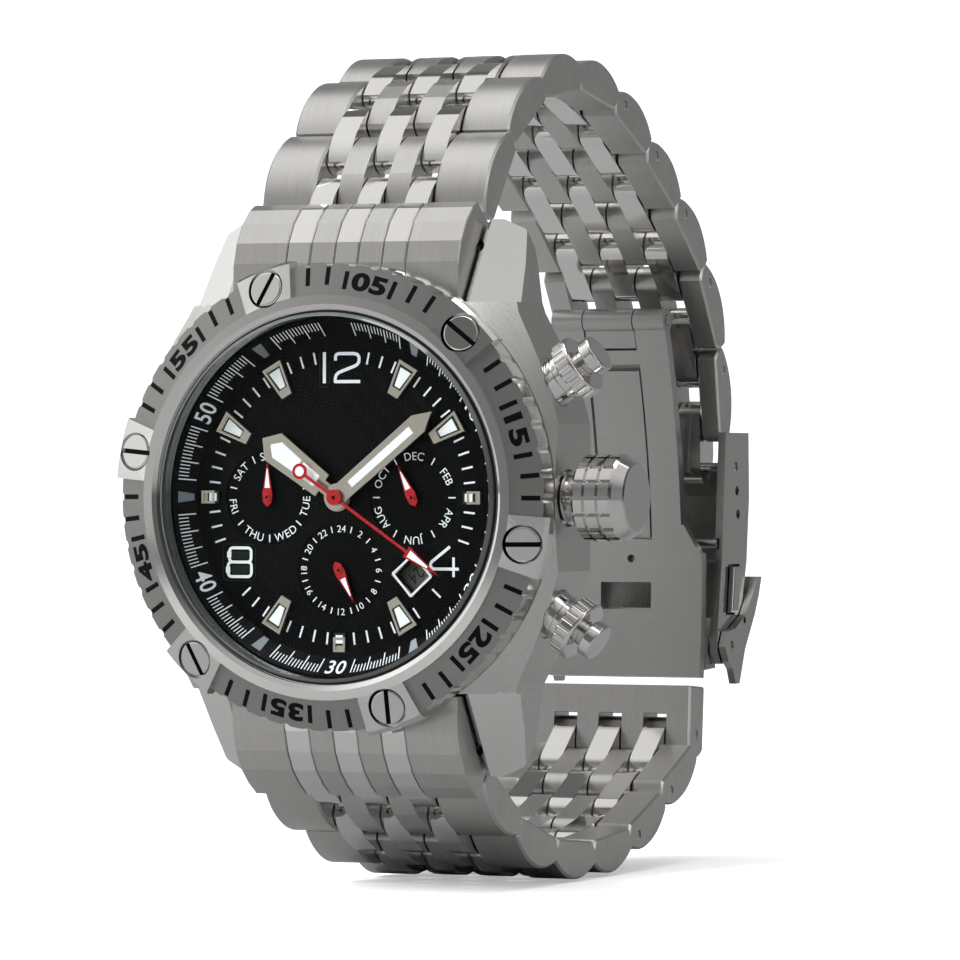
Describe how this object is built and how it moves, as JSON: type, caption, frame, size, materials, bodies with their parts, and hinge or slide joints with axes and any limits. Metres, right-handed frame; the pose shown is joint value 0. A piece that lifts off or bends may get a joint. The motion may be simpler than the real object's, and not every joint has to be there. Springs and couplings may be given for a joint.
{
  "type": "wristwatch",
  "caption": "Steel wristwatch with turning bezel, multi-hand black dial, crown, pushers and a seven-column link bracelet closed by a folding clasp.",
  "frame": {"origin": "the centre of the crystal's outer face, on the hand axis", "axes": "+X towards 3 o'clock (crown side), +Z towards 12 o'clock, -Y out of the dial towards the viewer; the closed bracelet loop lies on the +Y side"},
  "size_m": [0.0524, 0.086, 0.0826],
  "materials": {
    "case_steel": "brushed and polished stainless steel",
    "fastener_steel": "polished stainless steel",
    "bracelet_steel": "outer and middle-outer pieces brushed, the rest polished",
    "clasp_steel": "brushed with polished edges",
    "glass": "clear flat crystal with a bevelled edge",
    "black_plastic": "matt black",
    "black_dial": "black woven-pattern dial with white print",
    "champagne": "polished champagne plating with white lume",
    "red_paint": "gloss red paint",
    "movement_plating": "nickel-plated movement parts",
    "brass": "polished brass"
  },
  "bodies": {
    "case": {"case_middle": "case_steel", "case_back_ring": "case_steel", "case_back_glass": "glass", "case_back_screws": "fastener_steel", "crystal": "glass", "crystal_gasket": "black_plastic", "chapter_ring": "black_plastic", "dial": "black_dial", "hour_markers": "champagne", "crown_tube": "case_steel", "pusher_tubes": "case_steel", "end_link_top": "bracelet_steel", "end_link_bottom": "bracelet_steel", "lug_spring_bars": "fastener_steel", "movement_ring": "black_plastic", "movement_plate": "movement_plating", "movement_bridges": "movement_plating"},
    "bezel": {"bezel_ring": "case_steel", "bezel_screws": "fastener_steel"},
    "winding_pinion": {"winding_pinion": "fastener_steel"},
    "crown": {"crown": "case_steel", "winding_stem": "fastener_steel"},
    "pusher_upper": {"pusher_upper_button": "case_steel"},
    "pusher_lower": {"pusher_lower_button": "case_steel"},
    "collar_upper": {"pusher_upper_collar": "case_steel"},
    "collar_lower": {"pusher_lower_collar": "case_steel"},
    "hour": {"hour_hand": "champagne"},
    "minute": {"minute_hand": "champagne"},
    "seconds": {"seconds_hand": "red_paint"},
    "day": {"day_hand": "red_paint"},
    "month": {"month_hand": "red_paint"},
    "hour24": {"hour24_hand": "red_paint"},
    "date": {"date_disc": "black_dial"},
    "rotor": {"rotor": "movement_plating"},
    "balance": {"balance_wheel": "brass"},
    "mainspring_barrel": {"mainspring_barrel": "brass"},
    "top_1": {"link_top_1": "bracelet_steel"},
    "top_2": {"link_top_2": "bracelet_steel"},
    "top_3": {"link_top_3": "bracelet_steel"},
    "top_4": {"link_top_4": "bracelet_steel"},
    "top_5": {"link_top_5": "bracelet_steel"},
    "top_6": {"link_top_6": "bracelet_steel"},
    "top_7": {"link_top_7": "bracelet_steel"},
    "top_8": {"link_top_8": "bracelet_steel"},
    "top_9": {"link_top_9": "bracelet_steel"},
    "bottom_1": {"link_bottom_1": "bracelet_steel"},
    "bottom_2": {"link_bottom_2": "bracelet_steel"},
    "bottom_3": {"link_bottom_3": "bracelet_steel"},
    "bottom_4": {"link_bottom_4": "bracelet_steel"},
    "bottom_5": {"link_bottom_5": "bracelet_steel"},
    "bottom_6": {"link_bottom_6": "bracelet_steel"},
    "end_plate": {"clasp_end_plate": "bracelet_steel"},
    "cover": {"clasp_cover": "clasp_steel", "clasp_cover_pins": "fastener_steel"},
    "strip": {"clasp_strip_blade": "clasp_steel", "blade_hinge_pin": "fastener_steel"},
    "frame": {"clasp_frame_blade": "clasp_steel"},
    "lock": {"clasp_flip_lock": "clasp_steel"},
    "button_right": {"clasp_button_right": "clasp_steel"},
    "button_left": {"clasp_button_left": "clasp_steel"}
  },
  "joints": [
    {"name": "bezel_turn", "type": "hinge", "parent": "case", "child": "bezel", "pos_m": [0, 0, 0], "axis": [0, 1, 0], "continuous": true},
    {"name": "crown_turn", "type": "hinge", "parent": "case", "child": "winding_pinion", "pos_m": [0.0125, 0.00755, 0], "axis": [1, 0, 0], "continuous": true},
    {"name": "crown_pull", "type": "slide", "parent": "winding_pinion", "child": "crown", "axis": [1, 0, 0], "range_m": [0, 0.0015]},
    {"name": "pusher_upper_press", "type": "slide", "parent": "case", "child": "pusher_upper", "axis": [-0.8387, 0, -0.5446], "range_m": [0, 0.0006], "stiffness_N_per_m": 400, "springref_m": -0.0005},
    {"name": "pusher_upper_collar_turn", "type": "hinge", "parent": "case", "child": "collar_upper", "pos_m": [0.0211, 0.00755, 0.011], "axis": [0.8387, 0, 0.5446], "range_deg": [0, 270]},
    {"name": "pusher_lower_press", "type": "slide", "parent": "case", "child": "pusher_lower", "axis": [-0.8387, 0, 0.5446], "range_m": [0, 0.0006], "stiffness_N_per_m": 400, "springref_m": -0.0005},
    {"name": "pusher_lower_collar_turn", "type": "hinge", "parent": "case", "child": "collar_lower", "pos_m": [0.0211, 0.00755, -0.011], "axis": [0.8387, 0, -0.5446], "range_deg": [0, 270]},
    {"name": "minute_turn", "type": "hinge", "parent": "case", "child": "minute", "pos_m": [0, 0, 0], "axis": [0, 1, 0], "continuous": true},
    {"name": "hour_turn", "type": "hinge", "parent": "case", "child": "hour", "pos_m": [0, 0, 0], "axis": [0, 1, 0], "continuous": true},
    {"name": "seconds_turn", "type": "hinge", "parent": "case", "child": "seconds", "pos_m": [0, 0, 0], "axis": [0, 1, 0], "continuous": true},
    {"name": "hour24_turn", "type": "hinge", "parent": "case", "child": "hour24", "pos_m": [0, 0.00395, -0.007], "axis": [0, 1, 0], "continuous": true},
    {"name": "day_turn", "type": "hinge", "parent": "case", "child": "day", "pos_m": [-0.0077, 0.00395, 0], "axis": [0, 1, 0], "continuous": true},
    {"name": "month_turn", "type": "hinge", "parent": "case", "child": "month", "pos_m": [0.0077, 0.00395, 0], "axis": [0, 1, 0], "continuous": true},
    {"name": "date_turn", "type": "hinge", "parent": "case", "child": "date", "pos_m": [0, 0, 0], "axis": [0, 1, 0], "continuous": true},
    {"name": "rotor_turn", "type": "hinge", "parent": "case", "child": "rotor", "pos_m": [0, 0.006, 0], "axis": [0, 1, 0], "continuous": true},
    {"name": "balance_swing", "type": "hinge", "parent": "case", "child": "balance", "pos_m": [-0.007, 0.00725, -0.0062], "axis": [0, 1, 0], "range_deg": [-270, 270]},
    {"name": "barrel_turn", "type": "hinge", "parent": "case", "child": "mainspring_barrel", "pos_m": [0.0056, 0.00725, 0.006], "axis": [0, 1, 0], "continuous": true},
    {"name": "top_link_1_fold", "type": "hinge", "parent": "case", "child": "top_1", "pos_m": [0, 0.01251, 0.02928], "axis": [1, 0, 0], "range_deg": [0, 30]},
    {"name": "top_link_2_fold", "type": "hinge", "parent": "top_1", "child": "top_2", "pos_m": [0, 0.01944, 0.03698], "axis": [1, 0, 0], "range_deg": [0, 30]},
    {"name": "top_link_3_fold", "type": "hinge", "parent": "top_2", "child": "top_3", "pos_m": [0, 0.02866, 0.04168], "axis": [1, 0, 0], "range_deg": [0, 30]},
    {"name": "top_link_4_fold", "type": "hinge", "parent": "top_3", "child": "top_4", "pos_m": [0, 0.03899, 0.0424], "axis": [1, 0, 0], "range_deg": [0, 30]},
    {"name": "top_link_5_fold", "type": "hinge", "parent": "top_4", "child": "top_5", "pos_m": [0, 0.04906, 0.03989], "axis": [1, 0, 0], "range_deg": [0, 30]},
    {"name": "top_link_6_fold", "type": "hinge", "parent": "top_5", "child": "top_6", "pos_m": [0, 0.05832, 0.03517], "axis": [1, 0, 0], "range_deg": [0, 30]},
    {"name": "top_link_7_fold", "type": "hinge", "parent": "top_6", "child": "top_7", "pos_m": [0, 0.06704, 0.02951], "axis": [1, 0, 0], "range_deg": [0, 30]},
    {"name": "top_link_8_fold", "type": "hinge", "parent": "top_7", "child": "top_8", "pos_m": [0, 0.07475, 0.02257], "axis": [1, 0, 0], "range_deg": [0, 30]},
    {"name": "top_link_9_fold", "type": "hinge", "parent": "top_8", "child": "top_9", "pos_m": [0, 0.07961, 0.01342], "axis": [1, 0, 0], "range_deg": [0, 30]},
    {"name": "bottom_link_1_fold", "type": "hinge", "parent": "case", "child": "bottom_1", "pos_m": [0, 0.01313, -0.02862], "axis": [-1, 0, 0], "range_deg": [0, 30]},
    {"name": "bottom_link_2_fold", "type": "hinge", "parent": "bottom_1", "child": "bottom_2", "pos_m": [0, 0.0222, -0.03365], "axis": [-1, 0, 0], "range_deg": [0, 30]},
    {"name": "bottom_link_3_fold", "type": "hinge", "parent": "bottom_2", "child": "bottom_3", "pos_m": [0, 0.03232, -0.03598], "axis": [-1, 0, 0], "range_deg": [0, 30]},
    {"name": "bottom_link_4_fold", "type": "hinge", "parent": "bottom_3", "child": "bottom_4", "pos_m": [0, 0.0427, -0.03634], "axis": [-1, 0, 0], "range_deg": [0, 30]},
    {"name": "bottom_link_5_fold", "type": "hinge", "parent": "bottom_4", "child": "bottom_5", "pos_m": [0, 0.05296, -0.03472], "axis": [-1, 0, 0], "range_deg": [0, 30]},
    {"name": "bottom_link_6_fold", "type": "hinge", "parent": "bottom_5", "child": "bottom_6", "pos_m": [0, 0.06248, -0.03058], "axis": [-1, 0, 0], "range_deg": [0, 30]},
    {"name": "end_plate_fold", "type": "hinge", "parent": "bottom_6", "child": "end_plate", "pos_m": [0, 0.07122, -0.02512], "axis": [-1, 0, 0], "range_deg": [0, 45]},
    {"name": "cover_fold", "type": "hinge", "parent": "top_9", "child": "cover", "pos_m": [0, 0.0807, 0.0031], "axis": [1, 0, 0], "range_deg": [0, 25]},
    {"name": "strip_fold", "type": "hinge", "parent": "cover", "child": "strip", "pos_m": [0, 0.0769, -0.005], "axis": [1, 0, 0], "range_deg": [0, 29]},
    {"name": "frame_fold", "type": "hinge", "parent": "strip", "child": "frame", "pos_m": [0, 0.0695, 0.01855], "axis": [-1, 0, 0], "range_deg": [0, 95]},
    {"name": "flip_lock", "type": "hinge", "parent": "cover", "child": "lock", "pos_m": [0, 0.0775, -0.01585], "axis": [-1, 0, 0], "range_deg": [0, 50]},
    {"name": "button_right_press", "type": "slide", "parent": "cover", "child": "button_right", "axis": [-1, 0, 0], "range_m": [0, 0.0006], "stiffness_N_per_m": 500, "springref_m": -0.0005},
    {"name": "button_left_press", "type": "slide", "parent": "cover", "child": "button_left", "axis": [1, 0, 0], "range_m": [0, 0.0006], "stiffness_N_per_m": 500, "springref_m": -0.0005}
  ],
  "couplings": [
    {"joint": "hour_turn", "follows": "minute_turn", "ratio": 0.083333},
    {"joint": "hour24_turn", "follows": "minute_turn", "ratio": 0.041667},
    {"joint": "seconds_turn", "follows": "minute_turn", "ratio": 60},
    {"joint": "strip_fold", "follows": "frame_fold", "ratio": 0.3}
  ]
}
